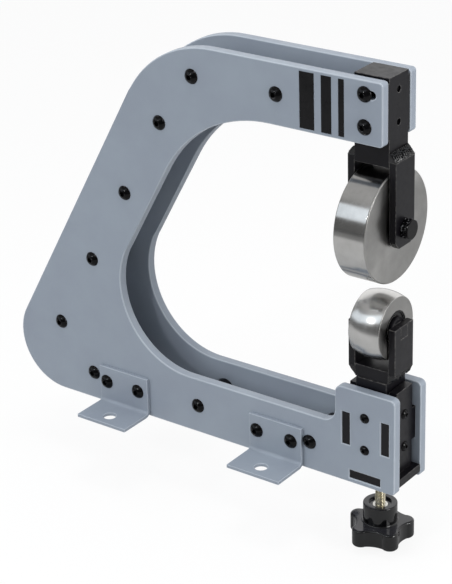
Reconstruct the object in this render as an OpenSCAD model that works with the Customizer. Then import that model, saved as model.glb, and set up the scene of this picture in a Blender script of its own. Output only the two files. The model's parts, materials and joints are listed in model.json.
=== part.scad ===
// Bench English wheel with a twin-plate C frame.
// X runs forward to the wheels, Y across the frame (near plate at -Y) and Z up.
// The origin is midway between the four bench bolt holes, on the underside of the feet.

/* [Side plates] */
// Thickness of each side plate
plate_t = 16; // [10:0.5:20]
// Clear gap between the two side plates, filled by the head block and the guide
plate_gap = 60; // [60:0.5:66]
// Height of the lower arm and of the upper arm
arm_w = 98; // [90:1:120]
// Width of the leaning back, square to its edges
back_w = 118; // [100:1:150]
// Lean of the back above the horizontal, in degrees
back_lean = 60; // [56:1:64]
// Depth of the throat, from the end of the upper arm to the deepest point of the back
throat_depth = 506; // [460:1:620]
// Distance from the front of the lower head to the end of the upper arm
arm_setback = 23.5; // [15:0.5:28]
// Length of the lower head along the arm
head_len = 109; // [104:1:125]
// Height of the lower head above the bench
head_height = 165; // [155:1:168]
// Radius of the heel, at the bottom of the back
heel_r = 88; // [60:1:110]
// Radius of the crown, at the top of the back
crown_r = 187; // [120:1:220]
// Radius of the throat's lower corner
throat_low_r = 135; // [90:1:150]
// Radius of the throat's upper corner
throat_high_r = 230; // [140:1:260]
// Fillet between the lower arm and the head
head_fillet_r = 24; // [10:1:45]
// Radius of the head's rear top corner
head_rear_r = 12; // [6:1:24]
// Radius of the head's front top corner
head_front_r = 9; // [6:1:24]
// Radius of the toe and of the upper arm's end corners
end_r = 6; // [4:1:16]

/* [Frame fasteners] */
// Nominal diameter of the frame screws
screw_d = 12; // [10:1:14]
// Diameter of a frame screw's button head
screw_head_d = 25; // [20:0.5:26]
// Height of a frame screw's button head
screw_head_h = 7.5; // [5:0.1:8]
// Width across the flats of a frame screw's socket
screw_socket = 8; // [6:1:9]
// Diameter of the clearance holes for the frame screws
screw_hole_d = 13; // [12.5:0.5:16]
// Diameter of the spacers between the side plates
spacer_d = 35; // [26:1:44]
// Depth of thread that a frame screw takes up
screw_grip = 22; // [14:1:26]
// Height of the lowest screw in the back
back_screw_z = 128; // [120:1:140]
// Pitch of the four screws up the back
back_screw_pitch = 155; // [140:1:158]
// Distance of the back screws from the throat edge
back_screw_inset = 46.5; // [35:0.5:60]
// Distance of the front screw of the upper arm from the frame's front
top_screw_setback = 209.5; // [160:0.5:240]
// Distance between the two screws of the upper arm
top_screw_pitch = 156; // [120:1:170]
// Distance of the outer screws of the lower arm from the middles of the feet
low_screw_reach = 65.5; // [62:0.5:70]
// Shift of the lower arm's screws, and of the feet's, along the frame from the feet's middles
low_screw_shift = -3; // [-4:0.5:4]

/* [Feet] */
// Distance between the front and the rear feet, centre to centre
foot_spacing = 310; // [290:1:320]
// Distance of the front feet's centre from the front of the frame
foot_setback = 220; // [214:1:226]
// Length of a foot along the frame
foot_len = 101; // [90:1:108]
// Leg length of a foot's angle, up the plate and out over the bench
foot_leg = 70; // [62:1:90]
// Thickness of a foot
foot_t = 6; // [4:0.5:8]
// Inner bend radius of a foot
foot_bend_r = 6; // [3:0.5:9]
// Diameter of the bench bolt hole in a foot
bench_hole_d = 22; // [10:0.5:24]
// Distance of the bench bolt hole from the side plate
bench_hole_reach = 46; // [38:1:50]
// Distance between the two screws of a foot
foot_screw_pitch = 66; // [56:1:70]
// Height of a foot's screws above the bench
foot_screw_z = 43; // [38:1:50]

/* [Wheel head] */
// Distance of the wheel plane from the front of the frame
wheel_setback = 54.5; // [53:0.5:56]
// Height of the head block's top above the side plates
block_proud = 2; // [0:0.5:6]
// Distance from the upper arms' edges to the steps where the block widens between the plates
block_step = 6; // [2:1:10]
// Height of the upper head screw below the top of the side plates
head_screw_drop = 21; // [18:0.5:24]
// Distance between the two head screws
head_screw_pitch = 50; // [40:1:56]
// Play of the upper head screw in its alignment slot, towards the front
head_slot_front = 12.5; // [4:0.5:16]
// Play of the upper head screw in its alignment slot, towards the rear
head_slot_rear = 3.5; // [0.5:0.5:8]
// Diameter of the two locking screws in the front of the head block
lock_screw_d = 10; // [6:1:12]
// Length of a locking screw
lock_screw_len = 12; // [8:1:16]
// Depth of a locking screw below the block's face
lock_screw_sink = 3; // [1:0.5:6]
// Width of the fork arms
fork_w = 52; // [44:1:56]
// Thickness of the fork arms
fork_t = 12; // [8:0.5:14]
// Overlap of the upper fork's arms on the head block
fork_lap = 9.5; // [8:0.5:22]
// Chamfer on the free corners of the upper fork's arms
fork_chamfer = 10; // [4:1:12]
// Height of the fillet welds on the forks
weld_h = 14; // [8:0.5:16]

/* [Upper wheel] */
// Diameter of the upper wheel
wheel_d = 178; // [160:1:180]
// Width of the upper wheel's tread
wheel_w = 55; // [48:0.5:57]
// Clear height between the upper wheel and the upper arms
arm_clear = 48; // [36:1:70]
// Clear height between the upper wheel and the head block
block_clear = 11; // [5:0.5:12]
// Edge chamfer of the upper wheel
wheel_chamfer = 1.5; // [0.5:0.5:4]
// Distance from the upper axis to the fork's lower end
fork_end_drop = 28; // [22:0.5:32]
// Diameter of the upper axle bolt
bolt_d = 20; // [14:1:22]
// Width across the flats of the axle bolt's head and nut
bolt_af = 30; // [26:1:34]
// Height of the axle bolt's head
bolt_head_h = 13; // [9:0.5:16]
// Height of the axle nut
nut_h = 16; // [10:0.5:20]
// Thickness of the washer under the axle nut
washer_t = 3; // [2:0.5:4]
// Outside diameter of the washer under the axle nut
washer_d = 37; // [34:1:44]
// Outside diameter of the upper wheel's bearings
wheel_bearing_d = 47; // [42:1:52]
// Width of one bearing of the upper wheel
wheel_bearing_w = 14; // [10:0.5:16]

/* [Anvil wheel] */
// Greatest diameter of the crowned anvil wheel
anvil_d = 109; // [98:1:114]
// Width of the anvil wheel
anvil_w = 54; // [48:0.5:56]
// Drop of the anvil's crown from its middle to its edge
anvil_crown = 5; // [1:0.5:9]
// Corner radius at the anvil's edges
anvil_edge_r = 1.5; // [0.5:0.5:3]
// Gap between the wheels as the lift stands
wheel_gap = 24.5; // [22:0.5:28]
// Diameter of the anvil's axle
axle_d = 30; // [26:1:32]
// Width across the flats at the ends of the anvil's axle
axle_flat = 18; // [12:1:22]
// Depth of the flat under the ends of the anvil's axle
axle_foot_cut = 3; // [0.5:0.5:4]
// Outside diameter of the anvil's bearings
anvil_bearing_d = 55; // [50:1:60]
// Width of one bearing of the anvil
anvil_bearing_w = 13; // [9:0.5:15]

/* [Bearing details] */
// Wall of a bearing's rings
ring_wall = 4; // [3:0.5:5]
// Thickness of the circlips
circlip_t = 1.5; // [1:0.25:2]
// Radial width of the circlips
circlip_w = 4; // [3:0.5:5]
// Depth of the circlip grooves
circlip_groove = 1.5; // [0.5:0.25:2]
// Distance of the circlip groove from the wheel's face
circlip_inset = 1.5; // [1:0.5:3]
// Height of the wheels' inner shoulder behind the bearings
seat_shoulder = 3; // [2:0.5:4]

/* [Lift] */
// Side of the square slider
slider_w = 55; // [52:0.5:56]
// Height of the slider's lower end above the bench
slider_foot_z = 40; // [38:1:42]
// Height of the yoke base's underside above the lower head, as the lift stands
base_clear = 14; // [14:1:22]
// Height of the yoke base
yoke_base_h = 21; // [20:1:26]
// Clear height between the yoke base and the anvil wheel
anvil_clear = 9.5; // [6:0.5:20]
// Overlap of the yoke's arms on the yoke base
yoke_lap = 5; // [3:0.5:10]
// Height of the yoke arms above the anvil's axis
yoke_rise = 8.5; // [4:0.5:12]
// Diameter of the lift screw
lift_d = 16; // [14:1:18]
// Depth of the lift screw's end in the slider
lift_depth = 36; // [30:1:50]
// Thickness of the thrust disc above the lift screw
thrust_t = 4; // [3:0.5:6]
// Diameter of the retaining screw that holds the lift screw in the slider
retainer_d = 8; // [6:1:10]
// Width of the retaining groove in the lift screw
retainer_groove = 7; // [6:0.5:9]
// Distance of the retaining groove's middle above the slider's foot
retainer_z = 16; // [14:1:20]

/* [Guide] */
// Thickness of the guide's plates
guide_t = 14; // [10:0.5:15]
// Width of the guide's upright plates between their tabs
guide_w = 45; // [40:1:50]
// Length of the tabs of the guide's upright plates
tab_len = 56; // [40:1:60]
// Height of the tabs' lower end above the bench
tab_z = 66; // [55:1:70]
// Length of the bottom plate's tabs
bottom_tab_len = 56; // [40:1:60]
// Height of the bottom plate's underside above the bench
bottom_z = 8; // [6:0.5:12]
// Sink of the tabs' ends below the side plates' faces
tab_sink = 1; // [0:0.5:3]
// Gap in front of the slider, taken up by the guide screws
front_gap = 2; // [1:0.5:3]
// Diameter of the guide screws
guide_screw_d = 8; // [6:1:10]
// Diameter of the guide screws' button heads
guide_head_d = 17; // [12:0.5:18]
// Height of the guide screws' button heads
guide_head_h = 5; // [3:0.5:6]
// Width across the flats of the guide screws' sockets
guide_socket = 5; // [4:1:6]
// Height of the lower guide screws above the bench
guide_screw_z = 65; // [62:1:70]
// Distance between the lower and the upper guide screws
guide_screw_pitch = 56; // [46:1:60]

/* [Knob] */
// Height of the knob's top below the bench, as the lift stands
knob_drop = 49; // [44:1:60]
// Diameter of the knob's hub
hub_d = 55; // [46:1:58]
// Height of the knob's hub above its lobes
hub_h = 33; // [20:1:44]
// Diameter of the recess in the hub's top
hub_recess_d = 36; // [30:1:42]
// Depth of the recess in the hub's top
hub_recess = 4; // [2:0.5:8]
// Height of the knob's lobes
lobe_h = 30; // [22:1:36]
// Radius of the knob over its lobes
knob_r = 54; // [50:1:60]
// Radius of a lobe's tip
lobe_r = 14; // [12:0.5:16]
// Radius of the knob at the hollows between its lobes
hollow_r = 40; // [38:0.5:41]
// Number of lobes
lobes = 5; // [5:1:5]
// Angle of the first lobe from the X axis
lobe_angle = 36; // [0:1:71]
// Thickness of the knob below its threaded insert
knob_floor = 4; // [3:0.5:6]
// Diameter of the threaded insert in the knob
insert_d = 25; // [22:0.5:28]

/* [Clearances] */
// Radial clearance of a turning fit
fit = 0.05; // [0.02:0.01:0.08]
// Clearance between sliding faces
slide_gap = 0.2; // [0.1:0.05:0.3]
// Clearance of a tab in its slot, on each side
tab_gap = 0.15; // [0.1:0.05:0.3]

/* [Hidden] */
$fn = 96;

paint = [0.56, 0.60, 0.63];
black = [0.09, 0.09, 0.10];
polished = [0.72, 0.72, 0.71];
steel = [0.60, 0.60, 0.58];
zinc = [0.74, 0.72, 0.66];
bronze = [0.66, 0.50, 0.28];

// Small overshoot of cutting tools past the faces that they cut
over = 1;

// Places along the frame
front_x = foot_spacing / 2 + foot_setback;
arm_end_x = front_x - arm_setback;
head_rear_x = front_x - head_len;
wheel_x = front_x - wheel_setback;

// Edges of the leaning back, where they cross the bench plane
throat_corner_x = arm_end_x - throat_depth + throat_low_r - throat_low_r / tan(back_lean / 2);
throat_line_x = throat_corner_x - arm_w / tan(back_lean);
heel_x = throat_line_x - back_w / sin(back_lean);

// Faces across the frame
inner_y = plate_gap / 2;
outer_y = inner_y + plate_t;

// Size of the head block along the frame, and across it between the plates: both forks open as far
block_w = plate_gap;

// Heights from the lower head up to the top of the frame, which the wheels set
yoke_base_z = head_height + base_clear;
yoke_top_z = yoke_base_z + yoke_base_h;
anvil_axis_z = yoke_top_z + anvil_clear + anvil_d / 2;
wheel_axis_z = anvil_axis_z + anvil_d / 2 + wheel_gap + wheel_d / 2;
wheel_top_z = wheel_axis_z + wheel_d / 2;
upper_z = wheel_top_z + arm_clear;
frame_height = upper_z + arm_w;

// Heights of the wheel head
block_top_z = frame_height + block_proud;
block_foot_z = wheel_top_z + block_clear;
head_screw_z = frame_height - head_screw_drop;
fork_top_z = block_foot_z + fork_lap;
fork_end_z = wheel_axis_z - fork_end_drop;

// Lift and knob
yoke_arm_top_z = anvil_axis_z + yoke_rise;
yoke_arm_foot_z = yoke_top_z - yoke_lap;
guide_floor_z = bottom_z + guide_t;
guide_rear_x = wheel_x - slider_w / 2 - slide_gap;
guide_front_x = wheel_x + slider_w / 2 + front_gap;
knob_top_z = -knob_drop;
lobe_top_z = knob_top_z - hub_h;
knob_foot_z = lobe_top_z - lobe_h;
lift_top_z = slider_foot_z + lift_depth - thrust_t - slide_gap / 2;

// Unit vector at an angle in the plane
function heading(a) = [cos(a), sin(a)];

// Places of the frame screws, as points in the X-Z plane
function throat_edge(z) = [throat_line_x + z / tan(back_lean), z];
back_screws = [
    for (i = [0:3]) throat_edge(back_screw_z)
        + back_screw_inset * heading(back_lean + 90)
        + (i * back_screw_pitch - back_screw_inset / tan(back_lean)) * heading(back_lean)
];
top_screws = [for (i = [0:1]) [front_x - top_screw_setback - i * top_screw_pitch, frame_height - arm_w / 2]];
low_screws = [
    for (side = [1, 0, -1])
        [side * (foot_spacing / 2 + low_screw_reach) + low_screw_shift, arm_w / 2]
];
frame_screws = concat(back_screws, top_screws, low_screws);
head_screws = [for (i = [0:1]) [wheel_x, head_screw_z - i * head_screw_pitch]];
guide_screws = [for (i = [0:1]) [wheel_x, guide_screw_z + i * guide_screw_pitch]];
foot_centres = [for (side = [-1, 1]) side * foot_spacing / 2];
foot_screws = [
    for (x = foot_centres, side = [-1, 1])
        [x + low_screw_shift + side * foot_screw_pitch / 2, foot_screw_z]
];

// General shapes

// Extrudes an X-Z outline along Y, from y on, over a thickness
module along_y(y, thickness) {
    translate([0, y + thickness, 0])
        rotate([90, 0, 0])
            linear_extrude(thickness)
                children();
}

// Extrudes a Y-Z outline along X, from x on, over a length
module along_x(x, length) {
    translate([x, 0, 0])
        rotate([90, 0, 90])
            linear_extrude(length)
                children();
}

// Turns a body of revolution about Z to the X axis, at a place in the wheel plane
module on_x_axis(z) {
    translate([wheel_x, 0, z])
        rotate([0, 90, 0])
            children();
}

// Waste between a sharp corner and its rounding, for edges that leave the corner at two angles
module corner_waste(p, a1, a2, r) {
    half = (a2 - a1) / 2;
    middle = heading((a1 + a2) / 2);
    reach = r / tan(half);
    centre = p + r / sin(half) * middle;
    difference() {
        polygon([p - over * middle, p + reach * heading(a1), centre, p + reach * heading(a2)]);
        translate(centre)
            circle(r);
    }
}

// Box with its middle at a point of the X-Y plane
module centred_box(size, x, z) {
    translate([x - size[0] / 2, -size[1] / 2, z])
        cube(size);
}

// Round bar along Z with chamfered ends
module chamfered_rod(d, h, c) {
    rotate_extrude()
        polygon([[0, 0], [d / 2 - c, 0], [d / 2, c], [d / 2, h - c], [d / 2 - c, h], [0, h]]);
}

// Ring along Z
module ring(outer_d, inner_d, h) {
    difference() {
        cylinder(d = outer_d, h = h);
        translate([0, 0, -over])
            cylinder(d = inner_d, h = h + 2 * over);
    }
}

// Hexagonal prism along Z, by its width across the flats
module hexagon(af, h) {
    cylinder(d = af / cos(30), h = h, $fn = 6);
}

// Button-head screw along Z: the head stands above z = 0 and the shank hangs below
module button_screw(d, length, head_d, head_h, socket) {
    dome_r = (pow(head_d / 2, 2) + head_h * head_h) / (2 * head_h);
    difference() {
        union() {
            rotate_extrude()
                intersection() {
                    square([head_d / 2, head_h]);
                    translate([0, head_h - dome_r])
                        circle(dome_r);
                }
            translate([0, 0, -length])
                chamfered_rod(d, length + head_h / 3, d / 12);
        }
        translate([0, 0, head_h * 0.35])
            hexagon(socket, head_h);
    }
}

// Button-head screw in the near plate's direction, at a point of the X-Z plane
module near_screw(p, face_y, length, d, head_d, head_h, socket) {
    translate([p[0], -face_y, p[1]])
        rotate([90, 0, 0])
            button_screw(d, length, head_d, head_h, socket);
}

// Frame

// Throat and front opening of a side plate
module opening_outline() {
    reach_x = front_x + over;
    difference() {
        polygon([
            [throat_corner_x, arm_w],
            [head_rear_x, arm_w],
            [head_rear_x, head_height],
            [reach_x, head_height],
            [reach_x, upper_z],
            throat_edge(upper_z)
        ]);
        corner_waste([throat_corner_x, arm_w], 0, back_lean, throat_low_r);
        corner_waste(throat_edge(upper_z), back_lean + 180, 360, throat_high_r);
        corner_waste([head_rear_x, arm_w], 90, 180, head_fillet_r);
    }
    corner_waste([head_rear_x, head_height], 270, 360, head_rear_r);
    corner_waste([front_x, head_height], 180, 270, head_front_r);
}

// Outline of a side plate, without its holes
module plate_outline() {
    crown_x = heel_x + frame_height / tan(back_lean);
    difference() {
        polygon([[heel_x, 0], [front_x, 0], [front_x, frame_height], [crown_x, frame_height]]);
        opening_outline();
        translate([arm_end_x, head_height])
            square([arm_setback + over, frame_height]);
        corner_waste([heel_x, 0], 0, back_lean, heel_r);
        corner_waste([crown_x, frame_height], back_lean + 180, 360, crown_r);
        corner_waste([front_x, 0], 90, 180, end_r);
        corner_waste([arm_end_x, frame_height], 180, 270, end_r);
        corner_waste([arm_end_x, upper_z], 90, 180, end_r);
    }
}

// Upright tab slot, for a guide plate whose rear face is at x
module tab_slot(x) {
    translate([x - tab_gap, tab_z - tab_gap])
        square([guide_t + 2 * tab_gap, tab_len + 2 * tab_gap]);
}

// All holes of a side plate
module plate_holes() {
    for (p = concat(frame_screws, [head_screws[1]]))
        translate(p)
            circle(d = screw_hole_d);
    translate(head_screws[0]) {
        for (x = [-head_slot_rear, head_slot_front])
            translate([x, 0])
                circle(d = screw_hole_d);
        translate([-head_slot_rear, -screw_hole_d / 2])
            square([head_slot_rear + head_slot_front, screw_hole_d]);
    }
    for (p = foot_screws)
        translate(p)
            circle(d = screw_d + 2 * fit);
    for (p = guide_screws)
        translate(p)
            circle(d = guide_screw_d + 2 * fit);
    tab_slot(guide_rear_x - guide_t);
    tab_slot(guide_front_x);
    translate([wheel_x - bottom_tab_len / 2 - tab_gap, bottom_z - tab_gap])
        square([bottom_tab_len + 2 * tab_gap, guide_t + 2 * tab_gap]);
}

// Side plate from y on
module side_plate(y) {
    color(paint)
        along_y(y, plate_t)
            difference() {
                plate_outline();
                plate_holes();
            }
}

module near_side_plate() {
    side_plate(-outer_y);
}

module far_side_plate() {
    side_plate(inner_y);
}

// Tubes that hold the side plates apart, tapped at both ends for the frame screws
module frame_spacers() {
    color(black)
        for (p = frame_screws)
            translate([p[0], -inner_y, p[1]])
                rotate([-90, 0, 0])
                    ring(spacer_d, screw_d + 2 * fit, plate_gap);
}

module near_frame_screws() {
    color(black)
        for (p = frame_screws)
            near_screw(p, outer_y, plate_t + screw_grip, screw_d, screw_head_d, screw_head_h, screw_socket);
}

module far_frame_screws() {
    mirror([0, 1, 0])
        near_frame_screws();
}

// Screws that clamp the head block between the side plates
module near_head_screws() {
    color(black)
        for (p = head_screws)
            near_screw(p, outer_y, plate_t + screw_grip, screw_d, screw_head_d, screw_head_h, screw_socket);
}

module far_head_screws() {
    mirror([0, 1, 0])
        near_head_screws();
}

// Feet

// Bent foot beside the near plate, with its middle at x
module foot(x) {
    bend_r = foot_bend_r + foot_t;
    flat_len = foot_leg - bend_r;
    color(paint)
        difference() {
            translate([x - foot_len / 2, -outer_y, 0])
                union() {
                    translate([0, -foot_t, bend_r])
                        cube([foot_len, foot_t, flat_len]);
                    translate([0, -foot_leg, 0])
                        cube([foot_len, flat_len, foot_t]);
                    translate([0, -bend_r, bend_r])
                        rotate([90, 0, 90])
                            tube_quarter(foot_len, foot_bend_r, bend_r);
                }
            translate([x, -outer_y - bench_hole_reach, -over])
                cylinder(d = bench_hole_d, h = foot_t + 2 * over);
            for (side = [-1, 1])
                translate([x + low_screw_shift + side * foot_screw_pitch / 2, -outer_y + over, foot_screw_z])
                    rotate([90, 0, 0])
                        cylinder(d = screw_hole_d, h = foot_t + 2 * over);
        }
}

// Quarter of a tube along Z, between +X and -Y
module tube_quarter(h, inner_r, outer_r) {
    intersection() {
        ring(2 * outer_r, 2 * inner_r, h);
        translate([0, -outer_r - over, -over])
            cube([outer_r + over, outer_r + over, h + 2 * over]);
    }
}

module near_front_foot() {
    foot(foot_centres[1]);
}

module near_rear_foot() {
    foot(foot_centres[0]);
}

module far_front_foot() {
    mirror([0, 1, 0])
        near_front_foot();
}

module far_rear_foot() {
    mirror([0, 1, 0])
        near_rear_foot();
}

// Screws that hold the feet, in threads cut in the side plate
module near_foot_screws() {
    color(black)
        for (p = foot_screws)
            near_screw(p, outer_y + foot_t, foot_t + plate_t, screw_d,
                screw_head_d, screw_head_h, screw_socket);
}

module far_foot_screws() {
    mirror([0, 1, 0])
        near_foot_screws();
}

// Guide

// Upright guide plate from x on, with a tab into each side plate
module upright_guide_plate(x) {
    tab_span = 2 * (outer_y - tab_sink);
    centred_box([guide_t, guide_w, head_height - guide_floor_z], x + guide_t / 2, guide_floor_z);
    centred_box([guide_t, tab_span, tab_len], x + guide_t / 2, tab_z);
}

module guide_front_plate() {
    color(black)
        difference() {
            upright_guide_plate(guide_front_x);
            for (p = guide_screws)
                translate([guide_front_x - over, 0, p[1]])
                    rotate([0, 90, 0])
                        cylinder(d = guide_screw_d + 2 * fit, h = guide_t + 2 * over);
        }
}

module guide_rear_plate() {
    color(black)
        upright_guide_plate(guide_rear_x - guide_t);
}

// Plate under the guide, with the thread of the lift screw and a tab into each side plate
module guide_bottom_plate() {
    rear_x = guide_rear_x - guide_t;
    tab_span = 2 * (outer_y - tab_sink);
    color(black)
        difference() {
            union() {
                translate([rear_x, -inner_y, bottom_z])
                    cube([front_x - rear_x, plate_gap, guide_t]);
                centred_box([bottom_tab_len, tab_span, guide_t], wheel_x, bottom_z);
            }
            translate([wheel_x, 0, bottom_z - over])
                cylinder(d = lift_d + 2 * fit, h = guide_t + 2 * over);
        }
}

// Screws through the near plate that bear on the slider
module near_guide_screws() {
    reach = outer_y - slider_w / 2 - slide_gap;
    color(black)
        for (p = guide_screws)
            near_screw(p, outer_y, reach, guide_screw_d, guide_head_d, guide_head_h, guide_socket);
}

module far_guide_screws() {
    mirror([0, 1, 0])
        near_guide_screws();
}

// Screws through the front plate that bear on the slider
module front_guide_screws() {
    reach = guide_t + front_gap - slide_gap;
    color(black)
        for (p = guide_screws)
            translate([guide_front_x + guide_t, 0, p[1]])
                rotate([0, 90, 0])
                    button_screw(guide_screw_d, reach, guide_head_d, guide_head_h, guide_socket);
}

// Wheel head

// Block clamped between the side plates, which carries the upper fork: as wide as the fork where
// it shows, and as wide as the plates' gap between them
module head_block() {
    lock_depth = lock_screw_sink + lock_screw_len;
    color(black)
        difference() {
            union() {
                centred_box([block_w, fork_w, block_top_z - block_foot_z], wheel_x, block_foot_z);
                centred_box([block_w, block_w, arm_w - 2 * block_step], wheel_x, upper_z + block_step);
            }
            for (p = head_screws) {
                for (side = [-1, 1])
                    translate([wheel_x, side * (block_w / 2 + over), p[1]])
                        rotate([side * 90, 0, 0])
                            cylinder(d = screw_d + 2 * fit, h = screw_grip + 1 + over);
                translate([wheel_x + block_w / 2 + over, 0, p[1]])
                    rotate([0, -90, 0])
                        cylinder(d = lock_screw_d + 2 * fit, h = lock_depth + over);
            }
        }
}

// Socket screws sunk in the front of the head block
module head_lock_screws() {
    color(black)
        for (p = head_screws)
            translate([wheel_x + block_w / 2 - lock_screw_sink, 0, p[1]])
                rotate([0, -90, 0])
                    difference() {
                        chamfered_rod(lock_screw_d, lock_screw_len, lock_screw_d / 12);
                        translate([0, 0, -over])
                            hexagon(lock_screw_d / 2, lock_screw_len / 2 + over);
                    }
}

// Outline of an upper fork arm in the Y-Z plane
module upper_arm_outline() {
    half = fork_w / 2;
    polygon([
        [-half + fork_chamfer, fork_end_z], [half - fork_chamfer, fork_end_z],
        [half, fork_end_z + fork_chamfer], [half, fork_top_z],
        [-half, fork_top_z], [-half, fork_end_z + fork_chamfer]
    ]);
}

// Upper fork arm from x on
module upper_fork_arm(x) {
    color(black)
        along_x(x, fork_t)
            difference() {
                upper_arm_outline();
                translate([0, wheel_axis_z])
                    circle(d = bolt_d + 2 * fit);
            }
}

module upper_fork_front_arm() {
    upper_fork_arm(wheel_x + block_w / 2);
}

module upper_fork_rear_arm() {
    upper_fork_arm(wheel_x - block_w / 2 - fork_t);
}

// Fillet weld along Y on both sides of a fork, from the arms' ends at z up or down the bar between them
module weld_pair(z, up) {
    color(black)
        for (side = [-1, 1])
            along_y(-fork_w / 2, fork_w)
                translate([wheel_x + side * block_w / 2, z])
                    polygon([[0, 0], [side * fork_t, 0], [0, up * weld_h]]);
}

module upper_fork_welds() {
    weld_pair(fork_top_z, 1);
}

// Hexagon with a turned chamfer on its far end
module turned_hexagon(af, h) {
    corner = af / cos(30) / 2;
    bevel = (corner - af / 2) * 1.2;
    intersection() {
        hexagon(af, h);
        rotate_extrude()
            polygon([[0, 0], [corner + over, 0], [corner + over, h - bevel * 0.6 - over * 0.5],
                [af / 2 - bevel * 0.2, h], [0, h]]);
    }
}

// Bolt that carries the upper wheel, with its head on the front arm
module upper_axle_bolt() {
    half_fork = block_w / 2 + fork_t;
    tail = half_fork + washer_t + nut_h + 4;
    color(black)
        translate([wheel_x, 0, wheel_axis_z])
            rotate([0, 90, 0]) {
                translate([0, 0, half_fork])
                    turned_hexagon(bolt_af, bolt_head_h);
                translate([0, 0, -tail])
                    chamfered_rod(bolt_d, tail + half_fork + bolt_head_h / 2, 1.5);
            }
}

module upper_axle_nut() {
    seat = block_w / 2 + fork_t + washer_t;
    color(black)
        translate([wheel_x - seat, 0, wheel_axis_z])
            rotate([0, -90, 0])
                difference() {
                    turned_hexagon(bolt_af, nut_h);
                    translate([0, 0, -over])
                        cylinder(d = bolt_d + 2 * fit, h = nut_h + 2 * over);
                }
}

module upper_axle_washer() {
    color(black)
        translate([wheel_x - block_w / 2 - fork_t, 0, wheel_axis_z])
            rotate([0, -90, 0])
                ring(washer_d, bolt_d + 1, washer_t);
}

// Bearings and wheels, with their axis along Z and their middle at the origin

// Distance from a wheel's middle to the outer side of its bearings
function bearing_end(width) = width / 2 - circlip_inset - circlip_t;

// Three sleeves on an axle: one between the bearings, and one from each bearing to the fork
module axle_sleeves(width, bore_d, bearing_w) {
    edge = bearing_end(width);
    span = 2 * (edge - bearing_w);
    outer = bore_d + 2 * ring_wall;
    translate([0, 0, -span / 2])
        ring(outer, bore_d + 2 * fit, span);
    for (side = [-1, 1])
        translate([0, 0, side < 0 ? -block_w / 2 : edge])
            ring(outer, bore_d + 2 * fit, block_w / 2 - edge);
}

module inner_rings(width, bore_d, bearing_w) {
    edge = bearing_end(width);
    for (z = [-edge, edge - bearing_w])
        translate([0, 0, z])
            ring(bore_d + 2 * ring_wall, bore_d + 2 * fit, bearing_w);
}

// Outer rings with the seals that reach in to the inner rings
module outer_rings(width, bearing_d, bore_d, bearing_w) {
    edge = bearing_end(width);
    seal_d = bore_d + 2 * ring_wall + 2 * fit + 0.5;
    seal_t = 1.5;
    for (side = [0, 1])
        mirror([0, 0, side])
            translate([0, 0, edge - bearing_w])
                rotate_extrude()
                    polygon([
                        [bearing_d / 2, 0], [bearing_d / 2, bearing_w],
                        [seal_d / 2, bearing_w], [seal_d / 2, bearing_w - seal_t],
                        [bearing_d / 2 - ring_wall, bearing_w - seal_t],
                        [bearing_d / 2 - ring_wall, seal_t],
                        [seal_d / 2, seal_t], [seal_d / 2, 0]
                    ]);
}

// Circlips in front of the bearings
module circlips(width, bearing_d) {
    edge = bearing_end(width);
    outer = bearing_d + 2 * circlip_groove - 0.2;
    for (side = [0, 1])
        mirror([0, 0, side])
            translate([0, 0, edge])
                difference() {
                    ring(outer, outer - 2 * circlip_w, circlip_t);
                    translate([0, -circlip_w, -over])
                        cube([outer, 2 * circlip_w, circlip_t + 2 * over]);
                }
}

// Half of a wheel's bore as an outline of radius against height, to cut away
module bore_outline(width, bearing_d, bearing_w) {
    edge = bearing_end(width);
    seat = edge - bearing_w;
    groove_r = bearing_d / 2 + circlip_groove;
    polygon([
        [-over, -width / 2 - over], [bearing_d / 2, -width / 2 - over],
        [bearing_d / 2, -edge - circlip_t], [groove_r, -edge - circlip_t],
        [groove_r, -edge], [bearing_d / 2, -edge],
        [bearing_d / 2, -seat], [bearing_d / 2 - seat_shoulder, -seat],
        [bearing_d / 2 - seat_shoulder, seat], [bearing_d / 2, seat],
        [bearing_d / 2, edge], [groove_r, edge],
        [groove_r, edge + circlip_t], [bearing_d / 2, edge + circlip_t],
        [bearing_d / 2, width / 2 + over], [-over, width / 2 + over]
    ]);
}

// Flat wheel above the sheet
module upper_wheel() {
    r = wheel_d / 2;
    half = wheel_w / 2;
    c = wheel_chamfer;
    color(polished)
        on_x_axis(wheel_axis_z)
            rotate_extrude()
                difference() {
                    polygon([
                        [0, -half], [r - c, -half], [r, -half + c],
                        [r, half - c], [r - c, half], [0, half]
                    ]);
                    bore_outline(wheel_w, wheel_bearing_d, wheel_bearing_w);
                }
}

module upper_axle_sleeves() {
    color(steel)
        on_x_axis(wheel_axis_z)
            axle_sleeves(wheel_w, bolt_d, wheel_bearing_w);
}

module upper_bearing_inner_rings() {
    color(steel)
        on_x_axis(wheel_axis_z)
            inner_rings(wheel_w, bolt_d, wheel_bearing_w);
}

module upper_bearing_outer_rings() {
    color(steel)
        on_x_axis(wheel_axis_z)
            outer_rings(wheel_w, wheel_bearing_d, bolt_d, wheel_bearing_w);
}

module upper_wheel_circlips() {
    color(steel)
        on_x_axis(wheel_axis_z)
            circlips(wheel_w, wheel_bearing_d);
}

// Outline of the anvil: a crown arc with rounded edges
module anvil_outline() {
    half = anvil_w / 2;
    crown_r_arc = (half * half + anvil_crown * anvil_crown) / (2 * anvil_crown);
    edge_r = anvil_d / 2 - anvil_crown;
    difference() {
        intersection() {
            translate([0, -half])
                square([anvil_d / 2, anvil_w]);
            translate([anvil_d / 2 - crown_r_arc, 0])
                circle(crown_r_arc);
        }
        for (side = [-1, 1])
            translate([edge_r + over, side * (half + over)])
                rotate(45)
                    square(sqrt(2) * (anvil_edge_r + 2 * over), center = true);
    }
}

// Crowned wheel below the sheet
module anvil_wheel() {
    color(polished)
        on_x_axis(anvil_axis_z)
            rotate_extrude()
                difference() {
                    anvil_outline();
                    bore_outline(anvil_w, anvil_bearing_d, anvil_bearing_w);
                }
}

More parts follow.
